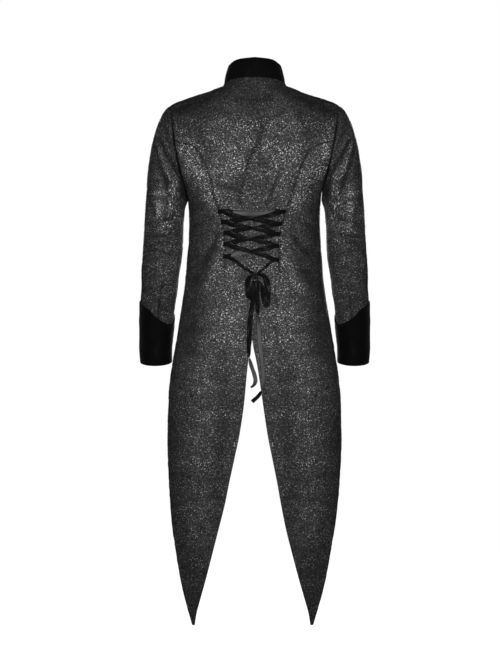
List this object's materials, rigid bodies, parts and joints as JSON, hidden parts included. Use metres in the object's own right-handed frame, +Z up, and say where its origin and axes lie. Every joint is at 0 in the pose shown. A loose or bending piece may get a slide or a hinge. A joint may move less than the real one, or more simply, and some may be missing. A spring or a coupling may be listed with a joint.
{
  "type": "gothic tailcoat",
  "caption": "Long brocade tailcoat with a velvet stand collar and cuffs, a laced back and pointed tails, kept hollow in the form it has when worn.",
  "frame": {"origin": "midway between the two neck points, at the height of the neck seam's sides, where the coat hangs on the shoulders", "axes": "+Z up, the coat faces -Y, +X is the wearer's left"},
  "size_m": [0.5724, 0.2766, 1.3658],
  "materials": {
    "brocade": "raised, silky",
    "velvet": "short pile",
    "ribbon": "velvet face, satin back",
    "button": "satin"
  },
  "bodies": {
    "root": {"back_centre_left": "brocade", "back_centre_right": "brocade", "back_side_left": "brocade", "back_side_right": "brocade", "front_left": "brocade", "front_right": "brocade", "sleeve_upper_left": "brocade", "sleeve_upper_right": "brocade", "sleeve_under_left": "brocade", "sleeve_under_right": "brocade", "collar": "velvet", "cuff_left": "velvet", "cuff_right": "velvet", "loop_left_1": "velvet", "loop_left_2": "velvet", "loop_left_3": "velvet", "loop_left_4": "velvet", "loop_left_5": "velvet", "loop_right_1": "velvet", "loop_right_2": "velvet", "loop_right_3": "velvet", "loop_right_4": "velvet", "loop_right_5": "velvet", "lace_bar": "ribbon", "lace_left_1": "ribbon", "lace_left_2": "ribbon", "lace_left_3": "ribbon", "lace_left_4": "ribbon", "lace_right_1": "ribbon", "lace_right_2": "ribbon", "lace_right_3": "ribbon", "lace_right_4": "ribbon", "lace_end_left": "ribbon", "lace_end_right": "ribbon", "knot": "ribbon", "bow_left": "ribbon", "bow_right": "ribbon", "ribbon_left": "ribbon", "ribbon_right": "ribbon", "button_1": "button", "button_2": "button", "button_3": "button", "button_4": "button", "button_5": "button"}
  },
  "joints": []
}
